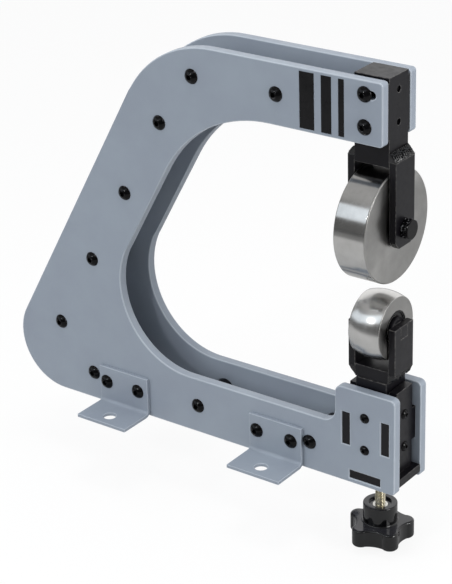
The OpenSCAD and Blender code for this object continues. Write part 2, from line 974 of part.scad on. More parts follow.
module anvil_axle_sleeves() {
    color(steel)
        on_x_axis(anvil_axis_z)
            axle_sleeves(anvil_w, axle_d, anvil_bearing_w);
}

module anvil_bearing_inner_rings() {
    color(steel)
        on_x_axis(anvil_axis_z)
            inner_rings(anvil_w, axle_d, anvil_bearing_w);
}

module anvil_bearing_outer_rings() {
    color(steel)
        on_x_axis(anvil_axis_z)
            outer_rings(anvil_w, anvil_bearing_d, axle_d, anvil_bearing_w);
}

module anvil_circlips() {
    color(steel)
        on_x_axis(anvil_axis_z)
            circlips(anvil_w, anvil_bearing_d);
}

// Section of the axle's ends, with a flat on each side, below and above, enlarged by a clearance
module axle_end_outline(clearance) {
    half = axle_flat / 2 + clearance;
    foot = -axle_d / 2 + axle_foot_cut - clearance;
    intersection() {
        translate([-half, foot])
            square([2 * half, yoke_rise - foot]);
        circle(d = axle_d + 2 * clearance);
    }
}

// Axle of the anvil, whose flattened ends drop into the yoke
module anvil_axle() {
    color(black) {
        translate([wheel_x - block_w / 2, 0, anvil_axis_z])
            rotate([0, 90, 0])
                cylinder(d = axle_d, h = block_w);
        for (x = [wheel_x - block_w / 2 - fork_t, wheel_x + block_w / 2 - over])
            along_x(x, fork_t + over)
                translate([0, anvil_axis_z])
                    axle_end_outline(0);
    }
}

// Lift

// Yoke arm from x on, with the open seat of the anvil's axle
module yoke_arm(x) {
    seat_half = axle_flat / 2 + tab_gap;
    seat_foot = anvil_axis_z - axle_d / 2 + axle_foot_cut - tab_gap;
    color(black)
        along_x(x, fork_t)
            difference() {
                translate([-fork_w / 2, yoke_arm_foot_z])
                    square([fork_w, yoke_arm_top_z - yoke_arm_foot_z]);
                translate([-seat_half, seat_foot])
                    square([2 * seat_half, axle_d]);
            }
}

module yoke_front_arm() {
    yoke_arm(wheel_x + block_w / 2);
}

module yoke_rear_arm() {
    yoke_arm(wheel_x - block_w / 2 - fork_t);
}

// Bar across the top of the slider, which carries the two arms
module yoke_base() {
    color(black)
        centred_box([block_w, fork_w, yoke_base_h], wheel_x, yoke_base_z);
}

module yoke_welds() {
    weld_pair(yoke_arm_foot_z, -1);
}

// Square bar that slides in the guide, bored from below for the lift screw
module lift_slider() {
    bore_top = slider_foot_z + lift_depth;
    color(black)
        difference() {
            centred_box([slider_w, slider_w, yoke_base_z - slider_foot_z], wheel_x, slider_foot_z);
            translate([wheel_x, 0, slider_foot_z - over])
                cylinder(d = lift_d + 2 * fit, h = lift_depth + over);
            translate([wheel_x, 0, slider_foot_z + retainer_z])
                rotate([0, 90, 0])
                    cylinder(d = retainer_d + 2 * fit, h = slider_w / 2 + over);
        }
}

module thrust_disc() {
    color(bronze)
        translate([wheel_x, 0, slider_foot_z + lift_depth - thrust_t])
            cylinder(d = lift_d, h = thrust_t);
}

// Dog-point screw whose tip runs in the lift screw's groove
module screw_retainer() {
    dog_r = retainer_groove / 2 - slide_gap;
    tip = lift_d / 2 - lift_d / 8 + slide_gap;
    shoulder = lift_d / 2 + 1;
    end = slider_w / 2 - 1;
    color(steel)
        translate([wheel_x, 0, slider_foot_z + retainer_z])
            rotate([0, 90, 0])
                difference() {
                    rotate_extrude()
                        polygon([
                            [0, tip], [dog_r, tip], [dog_r, shoulder],
                            [retainer_d / 2, shoulder], [retainer_d / 2, end], [0, end]
                        ]);
                    translate([0, 0, end - retainer_d / 2])
                        hexagon(retainer_d / 2, retainer_d);
                }
}

// Screw that raises and lowers the yoke
module lift_screw() {
    groove_z = slider_foot_z + retainer_z;
    groove_r = lift_d / 2 - lift_d / 8;
    foot_z = knob_foot_z + knob_floor;
    color(zinc)
        difference() {
            translate([wheel_x, 0, foot_z])
                chamfered_rod(lift_d, lift_top_z - foot_z, 1);
            translate([wheel_x, 0, groove_z - retainer_groove / 2])
                ring(lift_d + 2 * over, 2 * groove_r, retainer_groove);
        }
}

// Knob

// Outline of the knob: round tips joined by hollows, whose flatter arcs run into the tips
module lobe_outline() {
    tip_x = knob_r - lobe_r;
    step = 180 / lobes;
    rise = tip_x * sin(step);
    run = hollow_r - tip_x * cos(step);
    tangent_r = (rise * rise + run * run - lobe_r * lobe_r) / (2 * (lobe_r - run));
    cut_r = 1.25 * tangent_r;
    cut_x = hollow_r + cut_r;
    difference() {
        polygon([for (i = [0:2 * lobes - 1]) (i % 2 == 0 ? tip_x : cut_x) * heading(lobe_angle + i * step)]);
        for (i = [0:lobes - 1])
            translate(cut_x * heading(lobe_angle + (2 * i + 1) * step))
                circle(cut_r);
    }
    for (i = [0:lobes - 1])
        translate(tip_x * heading(lobe_angle + 2 * i * step))
            circle(lobe_r);
}

// Five-lobed knob with a round hub above, recessed around its threaded insert
module star_knob() {
    color(black)
        translate([wheel_x, 0, 0])
            difference() {
                union() {
                    translate([0, 0, knob_foot_z])
                        linear_extrude(lobe_h)
                            lobe_outline();
                    translate([0, 0, lobe_top_z - 1])
                        cylinder(d = hub_d, h = hub_h + 1);
                }
                translate([0, 0, knob_top_z - hub_recess])
                    cylinder(d = hub_recess_d, h = hub_recess + over);
                translate([0, 0, knob_foot_z + knob_floor])
                    cylinder(d = insert_d, h = lobe_h + hub_h);
            }
}

// Threaded insert that joins the knob to the lift screw
module knob_insert() {
    foot_z = knob_foot_z + knob_floor;
    color(zinc)
        translate([wheel_x, 0, foot_z])
            ring(insert_d, lift_d + 2 * fit, knob_top_z - hub_recess - foot_z);
}

near_side_plate();
far_side_plate();
frame_spacers();
near_frame_screws();
far_frame_screws();
near_head_screws();
far_head_screws();
near_front_foot();
near_rear_foot();
far_front_foot();
far_rear_foot();
near_foot_screws();
far_foot_screws();
guide_front_plate();
guide_rear_plate();
guide_bottom_plate();
near_guide_screws();
far_guide_screws();
front_guide_screws();
head_block();
head_lock_screws();
upper_fork_front_arm();
upper_fork_rear_arm();
upper_fork_welds();
upper_axle_bolt();
upper_axle_nut();
upper_axle_washer();
upper_axle_sleeves();
upper_bearing_inner_rings();
upper_wheel();
upper_bearing_outer_rings();
upper_wheel_circlips();
lift_slider();
yoke_base();
yoke_front_arm();
yoke_rear_arm();
yoke_welds();
anvil_axle();
anvil_axle_sleeves();
anvil_bearing_inner_rings();
thrust_disc();
screw_retainer();
anvil_wheel();
anvil_bearing_outer_rings();
anvil_circlips();
lift_screw();
knob_insert();
star_knob();
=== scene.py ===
import math

import bmesh
import bpy
from mathutils import Matrix, Vector, noise
from mathutils.bvhtree import BVHTree
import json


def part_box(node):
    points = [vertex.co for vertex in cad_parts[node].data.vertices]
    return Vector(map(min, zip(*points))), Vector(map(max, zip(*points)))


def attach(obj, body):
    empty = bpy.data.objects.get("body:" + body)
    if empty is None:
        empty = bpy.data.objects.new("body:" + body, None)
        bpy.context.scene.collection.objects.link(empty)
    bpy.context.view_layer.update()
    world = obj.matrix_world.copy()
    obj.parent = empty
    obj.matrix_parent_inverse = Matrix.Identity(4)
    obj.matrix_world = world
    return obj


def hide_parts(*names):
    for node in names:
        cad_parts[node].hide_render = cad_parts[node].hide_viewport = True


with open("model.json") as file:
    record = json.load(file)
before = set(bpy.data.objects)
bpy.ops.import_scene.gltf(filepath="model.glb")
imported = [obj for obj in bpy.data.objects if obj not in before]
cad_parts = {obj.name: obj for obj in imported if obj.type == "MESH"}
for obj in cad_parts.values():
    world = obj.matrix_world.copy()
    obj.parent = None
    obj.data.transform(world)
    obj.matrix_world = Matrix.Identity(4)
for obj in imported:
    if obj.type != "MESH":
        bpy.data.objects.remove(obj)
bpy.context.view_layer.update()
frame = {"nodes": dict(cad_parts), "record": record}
record = frame["record"]
nodes = frame["nodes"]
body_of_node = {
    node: body for body, members in record["behaviour"]["bodies"].items() for node in members
}
joint_places = {joint["name"]: joint["pos_m"] for joint in record["behaviour"]["joints"] if "pos_m" in joint}

MM = 0.001
X, Y, Z = 0, 1, 2

# Places of the axes
WHEEL_X = joint_places["upper_wheel_spin"][X]
UPPER_Z = joint_places["upper_wheel_spin"][Z]
ANVIL_Z = joint_places["anvil_spin"][Z]


# Camera of the photograph, with its angles in degrees

CAMERA_AZIMUTH = 37.07
CAMERA_ELEVATION = 24.89
CAMERA_ROLL = -1.9
FOCAL_PX = 1996.17
PICTURE_W = 452
PICTURE_H = 584
SENSOR_MM = 36.0
VIEW_END = 50
# A point on the lower edge of the near side plate's outer face, where the picture shows it, and its depth
AIM_X = 374 * MM
AIM_PX = (393.78, 496.65)
AIM_DEPTH = 3.0856


def camera_axes(azimuth, elevation, roll):
    """Right, up and back directions of a camera that looks at the machine."""
    a, e, r = (math.radians(v) for v in (azimuth, elevation, roll))
    back = Vector((math.sin(a) * math.cos(e), -math.cos(a) * math.cos(e), math.sin(e)))
    right = Vector((math.cos(a), math.sin(a), 0))
    up = back.cross(right)
    return (
        math.cos(r) * right + math.sin(r) * up,
        -math.sin(r) * right + math.cos(r) * up,
        back,
    )


def make_camera():
    """Camera with the photograph's direction, distance and focal length."""
    right, up, back = camera_axes(CAMERA_AZIMUTH, CAMERA_ELEVATION, CAMERA_ROLL)
    across = (AIM_PX[0] - PICTURE_W / 2) / FOCAL_PX
    down = (AIM_PX[1] - PICTURE_H / 2) / FOCAL_PX
    plate_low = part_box("near_side_plate")[0]
    aim = Vector((AIM_X, plate_low.y, plate_low.z))
    place = aim + AIM_DEPTH * (back - across * right + down * up)
    data = bpy.data.cameras.new("camera")
    data.sensor_fit = "VERTICAL"
    data.sensor_height = SENSOR_MM
    data.lens = FOCAL_PX * SENSOR_MM / PICTURE_H
    data.clip_end = VIEW_END
    camera = bpy.data.objects.new("camera", data)
    bpy.context.scene.collection.objects.link(camera)
    camera.matrix_world = Matrix.Translation(place) @ Matrix((right, up, back)).transposed().to_4x4()
    bpy.context.scene.camera = camera


make_camera()


# Materials

# The range that most of a noise texture lies in
NOISE_LOW = 0.3
NOISE_HIGH = 0.7
# Sockets of a colour mix
MIX_SHARE = 0
MIX_FIRST = 6
MIX_SECOND = 7
MIX_RESULT = 2
COAT_ROUGHNESS = 0.1
# How far a wheel's shade, a wheel's roughness and other metals' roughness drift down and up
SHADE_DRIFT = (9, 7)
WHEEL_DRIFT = (0.05, 0.07)
METAL_DRIFT = (0.06, 0.08)


def srgb(r, g, b):
    """A colour written as 0 to 255 screen values, as the linear values that shaders take."""
    def linear(v):
        v = v / 255
        return v / 12.92 if v <= 0.04045 else ((v + 0.055) / 1.055) ** 2.4
    return (linear(r), linear(g), linear(b), 1)


class Tree:
    """A node tree with the few building blocks that the materials and the stage share."""

    def __init__(self, tree):
        self.tree = tree

    def add(self, kind, **settings):
        node = self.tree.nodes.new(kind)
        for key, value in settings.items():
            setattr(node, key, value)
        return node

    def link(self, source, target):
        self.tree.links.new(source, target)

    def math(self, operation, first, second):
        """Arithmetic on sockets or numbers."""
        node = self.add("ShaderNodeMath", operation=operation)
        for value, socket in zip((first, second), node.inputs):
            if isinstance(value, (int, float)):
                socket.default_value = value
            else:
                self.link(value, socket)
        return node.outputs[0]

    def product(self, first, second):
        return self.math("MULTIPLY", first, second)

    def span(self, value, low, high, source_low=NOISE_LOW, source_high=NOISE_HIGH, smooth=False):
        """A value moved from one range, by default that of noise, to another."""
        node = self.add("ShaderNodeMapRange")
        if smooth:
            node.interpolation_type = "SMOOTHSTEP"
        ends = {"From Min": source_low, "From Max": source_high, "To Min": low, "To Max": high}
        for end, v in ends.items():
            node.inputs[end].default_value = v
        self.link(value, node.inputs["Value"])
        return node.outputs["Result"]

    def coordinates(self, vector):
        """The three coordinates of a vector."""
        node = self.add("ShaderNodeSeparateXYZ")
        self.link(vector, node.inputs[0])
        return node.outputs

    def between(self, share, first, second):
        """A colour between two colours."""
        node = self.add("ShaderNodeMix", data_type="RGBA")
        node.inputs[MIX_FIRST].default_value = first
        node.inputs[MIX_SECOND].default_value = second
        self.link(share, node.inputs[MIX_SHARE])
        return node.outputs[MIX_RESULT]


class Shader(Tree):
    """A material on one principled shader."""

    def __init__(self, name, base, metallic=0.0, roughness=0.5, coat=0.0, specular=0.5, anisotropy=0.0):
        self.material = bpy.data.materials.new(name)
        self.material.use_nodes = True
        super().__init__(self.material.node_tree)
        self.bsdf = self.tree.nodes["Principled BSDF"]
        settings = {
            "Base Color": base, "Metallic": metallic, "Roughness": roughness,
            "Specular IOR Level": specular, "Coat Weight": coat, "Coat Roughness": COAT_ROUGHNESS,
            "Anisotropic": anisotropy,
        }
        for socket, value in settings.items():
            self.bsdf.inputs[socket].default_value = value
        self.place = self.add("ShaderNodeTexCoord").outputs["Object"]
        self.bump = None

    def noise(self, scale, detail=2.0, roughness=0.5, place=None):
        """Noise over the object, with a scale in grains a metre."""
        node = self.add("ShaderNodeTexNoise")
        node.inputs["Scale"].default_value = scale
        node.inputs["Detail"].default_value = detail
        node.inputs["Roughness"].default_value = roughness
        self.link(place or self.place, node.inputs["Vector"])
        return node.outputs["Fac"]

    def colour(self, share, first, second):
        """Base colour between two colours."""
        self.link(self.between(share, first, second), self.bsdf.inputs["Base Color"])

    def rough(self, value, low, high):
        """Roughness that follows noise between two values."""
        self.link(self.span(value, low, high), self.bsdf.inputs["Roughness"])

    def bumps(self, value, depth_mm, strength):
        """Adds a bump on top of those before it."""
        node = self.add("ShaderNodeBump")
        node.inputs["Strength"].default_value = strength
        node.inputs["Distance"].default_value = depth_mm * MM
        self.link(value, node.inputs["Height"])
        if self.bump:
            self.link(self.bump, node.inputs["Normal"])
        self.bump = node.outputs["Normal"]
        self.link(self.bump, self.bsdf.inputs["Normal"])


def paint_material(name, first, second):
    """Blue-grey powder coat: a fine orange peel, faint clouds and a soft gloss."""
    s = Shader(name, first, roughness=0.42, specular=0.4)
    s.colour(s.span(s.noise(9, detail=4, roughness=0.6), 0, 1), first, second)
    s.rough(s.noise(60), 0.36, 0.48)
    s.bumps(s.noise(700), depth_mm=0.03, strength=0.3)
    s.bumps(s.noise(90), depth_mm=0.05, strength=0.2)
    return s.material


def black_material():
    """Satin black coat on mill-finished bar, with faint clouds and a fine grain."""
    s = Shader("black_steel", srgb(10, 9, 13), roughness=0.34, specular=0.24)
    s.colour(s.span(s.noise(26, detail=4), 0, 1), srgb(7, 6, 10), srgb(14, 13, 18))
    s.rough(s.noise(110, detail=3), 0.28, 0.4)
    s.bumps(s.noise(1400), depth_mm=0.02, strength=0.3)
    s.bumps(s.noise(120), depth_mm=0.04, strength=0.2)
    return s.material


def black_edge_material():
    """The same coat where handling has thinned it along the edges."""
    s = Shader("black_steel_edge", srgb(40, 40, 42), roughness=0.32)
    wear = s.span(s.noise(160, detail=4, roughness=0.6), 0, 1, 0.42, 0.62)
    s.colour(wear, srgb(24, 24, 26), srgb(84, 82, 80))
    s.rough(s.noise(300), 0.24, 0.4)
    return s.material


def weld_material():
    """Weld bead under black coat: smoother than the bar, with a thick gloss."""
    s = Shader("black_weld", srgb(7, 7, 10), roughness=0.16, specular=0.4, coat=0.1)
    s.colour(s.span(s.noise(220, detail=3), 0, 1), srgb(4, 4, 6), srgb(10, 10, 14))
    s.rough(s.noise(240), 0.1, 0.22)
    s.bumps(s.noise(240), depth_mm=0.2, strength=0.4)
    return s.material


def screw_material():
    """Blackened steel with a light film of oil, with painted glints as bright specks along its edges."""
    s = Shader("black_screws", srgb(11, 11, 12), roughness=0.1, specular=0.16)
    # Painted glints: a near-white colour where the mesh comes to a sharp edge, broken into specks by noise
    edges = s.span(s.add("ShaderNodeNewGeometry").outputs["Pointiness"], 0, 1, 0.53, 0.6)
    glint_specks = s.span(s.noise(330), 0, 0.8, 0.55, 0.65)
    s.colour(s.product(edges, glint_specks), srgb(5, 5, 6), srgb(172, 172, 176))
    s.rough(s.noise(420), 0.07, 0.15)
    s.bumps(s.noise(2600), depth_mm=0.01, strength=0.08)
    return s.material


def seal_material():
    """Black rubber of the bearings' seals."""
    s = Shader("bearing_seal", srgb(18, 18, 19), roughness=0.55)
    s.rough(s.noise(300), 0.48, 0.62)
    s.bumps(s.noise(1500), depth_mm=0.02, strength=0.3)
    return s.material


def rings_about_axis(s, centre_z):
    """Coordinates that make noise run in rings round a wheel's axis: by place along it and by radius."""
    x, y, z = s.coordinates(s.place)
    flat = s.add("ShaderNodeCombineXYZ")
    s.link(y, flat.inputs["X"])
    s.link(s.math("SUBTRACT", z, centre_z), flat.inputs["Y"])
    radius = s.add("ShaderNodeVectorMath", operation="LENGTH")
    s.link(flat.outputs[0], radius.inputs[0])
    rings = s.add("ShaderNodeCombineXYZ")
    s.link(x, rings.inputs["X"])
    s.link(radius.outputs["Value"], rings.inputs["Y"])
    return rings.outputs[0]


def wheel_material(name, centre_z, shade, roughness, groove, anisotropy=0.0):
    """Ground or polished steel, with fine rings from the grinding and faint clouds from handling."""
    tint = (shade, shade - 1, shade - 3)
    dark = [v - SHADE_DRIFT[0] for v in tint]
    light = [v + SHADE_DRIFT[1] for v in tint]
    s = Shader(name, srgb(*tint), metallic=1.0, roughness=roughness, anisotropy=anisotropy)
    rings = rings_about_axis(s, centre_z)
    fine = s.noise(1800, detail=3, roughness=0.7, place=rings)
    broad = s.noise(260, detail=3, roughness=0.6, place=rings)
    clouds = s.noise(30, detail=4, roughness=0.6)
    s.colour(s.span(clouds, 0, 1), srgb(*dark), srgb(*light))
    mixed = s.math("ADD", s.product(broad, 0.5), s.product(clouds, 0.5))
    s.rough(mixed, roughness - WHEEL_DRIFT[0], roughness + WHEEL_DRIFT[1])
    s.bumps(fine, depth_mm=0.02, strength=groove)
    if anisotropy:
        around = s.add("ShaderNodeTangent", direction_type="RADIAL", axis="X")
        s.link(around.outputs[0], s.bsdf.inputs["Tangent"])
    return s.material


def metal_material(name, first, second, roughness):
    """Machined or plated metal that shifts between two shades."""
    s = Shader(name, first, metallic=1.0, roughness=roughness)
    s.colour(s.span(s.noise(130, detail=3), 0, 1), first, second)
    s.rough(s.noise(450), roughness - METAL_DRIFT[0], roughness + METAL_DRIFT[1])
    s.bumps(s.noise(2500, detail=1), depth_mm=0.01, strength=0.15)
    return s.material


def plastic_material():
    """Moulded black plastic with a gloss, faint flow marks and a painted sheen in patches where it faces up.
    """
    s = Shader("black_plastic", srgb(4, 4, 5), roughness=0.1, specular=0.5)
    # Painted sheen: a lighter colour on faces that turn up, in patches
    upward = s.coordinates(s.add("ShaderNodeNewGeometry").outputs["Normal"])["Z"]
    patches = s.span(s.noise(60, detail=3), 0.8, 1)
    painted_top_sheen = s.product(s.span(upward, 0, 1, 0.85, 0.99), patches)
    s.colour(painted_top_sheen, srgb(4, 4, 5), srgb(42, 42, 46))
    s.rough(s.noise(90, detail=3), 0.06, 0.16)
    s.bumps(s.noise(160), depth_mm=0.05, strength=0.15)
    return s.material


def vinyl_material():
    """Black vinyl film."""
    s = Shader("vinyl", srgb(12, 12, 14), roughness=0.3, specular=0.25)
    s.colour(s.span(s.noise(40, detail=3), 0, 1), srgb(9, 9, 11), srgb(16, 15, 17))
    s.rough(s.noise(80), 0.25, 0.38)
    s.bumps(s.noise(300), depth_mm=0.01, strength=0.1)
    return s.material


PAINT = paint_material("frame_paint", srgb(136, 144, 156), srgb(143, 152, 163))
# Lighter copy of the coat for the rounded rims: a painted highlight where the edges catch the light
PAINT_LIT_EDGE = paint_material("frame_paint_lit_edge", srgb(160, 168, 178), srgb(170, 178, 187))
BLACK = black_material()
BLACK_EDGE = black_edge_material()
WELD = weld_material()
SCREW = screw_material()
SEAL = seal_material()
UPPER_TREAD = wheel_material("upper_wheel_tread", UPPER_Z, 190, roughness=0.14, groove=0.1)
UPPER_FACE = wheel_material("upper_wheel_face", UPPER_Z, 160, roughness=0.32, groove=0.3, anisotropy=0.7)
ANVIL_TREAD = wheel_material("anvil_wheel_tread", ANVIL_Z, 196, roughness=0.22, groove=0.12)
ANVIL_FACE = wheel_material("anvil_wheel_face", ANVIL_Z, 155, roughness=0.3, groove=0.3, anisotropy=0.7)
BARE = metal_material("bare_steel", srgb(150, 149, 146), srgb(168, 166, 162), roughness=0.3)
ZINC = metal_material("zinc_steel", srgb(216, 212, 198), srgb(196, 186, 154), roughness=0.28)
BRIGHT_ZINC = metal_material("bright_zinc", srgb(226, 225, 220), srgb(212, 210, 202), roughness=0.3)
BRONZE = metal_material("bronze", srgb(190, 150, 95), srgb(176, 136, 84), roughness=0.34)
PLASTIC = plastic_material()
VINYL = vinyl_material()


# Meshes

# Corners closer than this are one, and faces within these angles are one flat face
MERGE = 0.002 * MM
FLAT_ANGLE = 0.2
# Edges that get a bevel, and edges that stay sharp in the shading, both in degrees
BEVEL_ANGLE = 28
SHARP_ANGLE = 50
# How far a corner may lie from a plane or a cylinder that it belongs to
ON_SURFACE = 0.05 * MM
# The least divisor of a mitre, which keeps it short at acute corners
MITRE_FLOOR = 0.5


def show(bm, name, materials, body, replaced=(), sharp_angle=None):
    """Turns a bmesh into a shown piece that rides on a body and stands for the named nodes."""
    bmesh.ops.recalc_face_normals(bm, faces=bm.faces)
    mesh = bpy.data.meshes.new(name)
    bm.to_mesh(mesh)
    bm.free()
    mesh.shade_smooth()
    if sharp_angle:
        mesh.set_sharp_from_angle(angle=math.radians(sharp_angle))
    for material in materials:
        mesh.materials.append(material)
    piece = bpy.data.objects.new(name, mesh)
    bpy.context.scene.collection.objects.link(piece)
    weighted = piece.modifiers.new("flat_faces", "WEIGHTED_NORMAL")
    weighted.keep_sharp = True
    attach(piece, body)
    if replaced:
        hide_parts(*replaced)


def show_node(bm, node, materials, sharp_angle=None):
    """Shows a mesh in place of one node."""
    show(bm, node + "_shown", materials, body_of_node[node], [node], sharp_angle)


def node_mesh(node):
    """The node's solids as a bmesh, with the corners that its faces share made one."""
    bm = bmesh.new()
    bm.from_mesh(nodes[node].data)
    bmesh.ops.remove_doubles(bm, verts=bm.verts, dist=MERGE)
    return bm


def join(bm, other):
    """Adds a second bmesh to the first."""
    mesh = bpy.data.meshes.new("joined")
    other.to_mesh(mesh)
    other.free()
    bm.from_mesh(mesh)
    bpy.data.meshes.remove(mesh)


def quarter(steps):
    """Angles that divide a quarter turn into equal steps, both ends included."""
    return [math.pi / 2 * i / steps for i in range(steps + 1)]


def dress(node, materials, bevel_mm):
    """A node's own shape with its sharp edges broken, which take the second material if there is one."""
    bm = node_mesh(node)
    bmesh.ops.dissolve_limit(
        bm, angle_limit=math.radians(FLAT_ANGLE), verts=bm.verts, edges=bm.edges, delimit=set()
    )
    sharp = [e for e in bm.edges if e.is_manifold and e.calc_face_angle(0) > math.radians(BEVEL_ANGLE)]
    bmesh.ops.bevel(
        bm, geom=sharp, offset=bevel_mm * MM, offset_type="OFFSET", segments=2,
        profile=0.5, affect="EDGES", clamp_overlap=False, loop_slide=True,
        material=len(materials) - 1,
    )
    show_node(bm, node, materials, SHARP_ANGLE)


def face_loops(node, axis, side):
    """Outlines of the outermost flat face that a node turns to one side of an axis, solid on their left."""
    bm = node_mesh(node)
    bm.normal_update()
    reach = max(side * v.co[axis] for v in bm.verts) - ON_SURFACE
    cap = [f for f in bm.faces if all(side * v.co[axis] > reach for v in f.verts)]
    in_cap = set(cap)
    follow = {}
    for face in cap:
        for corner in face.loops:
            if sum(other in in_cap for other in corner.edge.link_faces) == 1:
                follow[corner.vert.index] = corner.link_loop_next.vert
    by_index = {v.index: v for v in bm.verts}
    loops = []
    while follow:
        loop = []
        at = next(iter(follow))
        while at in follow:
            loop.append(by_index[at].co.copy())
            at = follow.pop(at).index
        loops.append(loop)
    bm.free()
    return loops


def moved_in(loop, normal, distance):
    """A flat outline moved towards the solid on its left, seen against the normal."""
    points = []
    for i, at in enumerate(loop):
        before = (at - loop[i - 1]).normalized()
        after = (loop[(i + 1) % len(loop)] - at).normalized()
        first = normal.cross(before)
        second = normal.cross(after)
        mitre = first + second
        points.append(at + distance * mitre / max(MITRE_FLOOR, 1 + first.dot(second)))
    return points


def sawn_mesh(loops, axis, side, thickness, radius, segments=3):
    """A prism between an outline and its parallel, with holes and with all rims rounded.

    The rims take the second material, and the faces and the sides between the rims take the first.
    """
    normal = Vector([side if i == axis else 0 for i in (X, Y, Z)])
    bm = bmesh.new()
    profile = [(radius * (1 - math.sin(a)), radius * (1 - math.cos(a))) for a in quarter(segments)]
    profile += [(inset, thickness - depth) for inset, depth in reversed(profile)]
    caps = ([], [])
    for loop in loops:
        rows = []
        for inset, depth in profile:
            ring = moved_in(loop, normal, inset)
            rows.append([bm.verts.new(p - depth * normal) for p in ring])
        for k, (upper, lower) in enumerate(zip(rows, rows[1:])):
            for i in range(len(loop)):
                j = (i + 1) % len(loop)
                face = bm.faces.new((upper[i], lower[i], lower[j], upper[j]))
                face.material_index = int(k != segments)
        for cap, row in zip(caps, (rows[0], rows[-1])):
            cap.extend(bm.edges.get((row[i - 1], row[i])) for i in range(len(row)))
    for cap, facing in zip(caps, (normal, -normal)):
        bmesh.ops.triangle_fill(bm, edges=cap, use_beauty=True, use_dissolve=False, normal=facing)
    return bm


def saw(node, axis, materials, radius_mm):
    """A node cut from flat stock, rebuilt from its outline and holes with rounded rims."""
    low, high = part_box(node)
    side = -1 if high[axis] <= 0 else 1
    loops = face_loops(node, axis, side)
    bm = sawn_mesh(loops, axis, side, high[axis] - low[axis], radius_mm * MM)
    show_node(bm, node, materials, SHARP_ANGLE)


def turned_mesh(profile, place, axis, segments=192):
    """A closed profile of (place along the axis, radius, material) points, turned round an axis."""
    bm = bmesh.new()
    along = Vector([int(i == axis) for i in (X, Y, Z)])
    first = Vector([int(i == (axis + 1) % 3) for i in (X, Y, Z)])
    second = along.cross(first)
    rows = []
    for k in range(segments):
        a = 2 * math.pi * k / segments
        out = math.cos(a) * first + math.sin(a) * second
        rows.append([bm.verts.new(place + x * along + r * out) for x, r, _ in profile])
    for k in range(segments):
        for i, point in enumerate(profile):
            j = (i + 1) % len(profile)
            face = bm.faces.new((rows[k - 1][i], rows[k - 1][j], rows[k][j], rows[k][i]))
            face.material_index = point[2]
    return bm


# Frame, guide, forks and fasteners

# The frame's coat, and its lighter copy that paints a highlight on the rims
PAINTED = (PAINT, PAINT_LIT_EDGE)
BLACKED = (BLACK, BLACK_EDGE)

# Pieces cut from plate: materials, rounding in mm, direction through the plate, nodes
SAWN = [
    (PAINTED, 1.8, Y, ["near_side_plate", "far_side_plate"]),
    (BLACKED, 0.7, X, ["guide_front_plate", "guide_rear_plate"]),
    (BLACKED, 0.7, Z, ["guide_bottom_plate"]),
]
# Other pieces: materials, rounding in mm, nodes
DRESSED = [
    (BLACKED, 0.9, ["upper_fork_front_arm", "upper_fork_rear_arm", "yoke_front_arm", "yoke_rear_arm"]),
    (PAINTED, 0.8, ["near_front_foot", "near_rear_foot", "far_front_foot", "far_rear_foot"]),
    (BLACKED, 0.8, ["frame_spacers", "head_block", "lift_slider", "yoke_base"]),
    (BLACKED, 0.5, ["anvil_axle"]),
    ((SCREW,), 0.35, [
        "near_frame_screws", "far_frame_screws", "near_head_screws", "far_head_screws",
        "near_foot_screws", "far_foot_screws", "near_guide_screws", "far_guide_screws",
        "front_guide_screws", "head_lock_screws", "upper_axle_bolt", "upper_axle_nut",
        "upper_axle_washer", "upper_wheel_circlips", "anvil_circlips",
    ]),
    ((BLACK,), 0.3, ["upper_axle_sleeves", "anvil_axle_sleeves"]),
    ((SEAL,), 0.2, ["upper_bearing_outer_rings", "anvil_bearing_outer_rings"]),
    ((BARE,), 0.25, ["upper_bearing_inner_rings", "anvil_bearing_inner_rings", "screw_retainer"]),
    ((BRONZE,), 0.3, ["thrust_disc"]),
    ((BRIGHT_ZINC,), 0.6, ["knob_insert"]),
]
for materials, radius_mm, axis, members in SAWN:
    for member in members:
        saw(member, axis, materials, radius_mm)
for materials, bevel_mm, members in DRESSED:
    for member in members:
        dress(member, materials, bevel_mm)


# Welds

BEAD_BULGE = 1.8 * MM
BEAD_RIPPLE = 1.2 * MM
BEAD_PITCH = 4.6 * MM
BEAD_SWEEP = 3 * MM
BEAD_WOBBLE = 2.8 * MM
BEAD_HOLLOW = 0.5 * MM
BEAD_END = 2.5 * MM
BEAD_STEP = 0.5 * MM
BEAD_ACROSS = 18
# Lumps and half as strong, finer lumps, in grains a metre
LUMP_SCALE = 110
FINE_LUMP_SCALE = 260


def weld_bead(bm, corner, out, up, half_width):
    """One hand-laid fillet along Y in the corner between two faces, whose legs are out and up."""
    stations = round(2 * half_width / BEAD_STEP)
    bulge = (up.normalized() + out.normalized()).normalized()
    rows = []
    for k in range(stations + 1):
        y = -half_width + 2 * half_width * k / stations
        end = min(1, (half_width - abs(y)) / BEAD_END) ** 0.5
        row = [bm.verts.new(corner + Vector((0, y, 0)))]
        for i in range(BEAD_ACROSS + 1):
            t = i / BEAD_ACROSS
            arch = math.sin(math.pi * t)
            on_slope = corner + (1 - t) * out + t * up + Vector((0, y, 0))
            wave = math.sin(2 * math.pi * (y + BEAD_SWEEP * arch) / BEAD_PITCH)
            lump = noise.noise(on_slope * LUMP_SCALE) + 0.5 * noise.noise(on_slope * FINE_LUMP_SCALE)
            rise = BEAD_BULGE * arch + arch ** 0.5 * (BEAD_RIPPLE * wave + BEAD_WOBBLE * lump)
            row.append(bm.verts.new(on_slope + end * max(rise, -BEAD_HOLLOW) * bulge))
        rows.append(row)
    for before, after in zip(rows, rows[1:]):
        for i in range(len(before)):
            j = (i + 1) % len(before)
            bm.faces.new((before[i], before[j], after[j], after[i]))
    bm.faces.new(rows[0])
    bm.faces.new(list(reversed(rows[-1])))


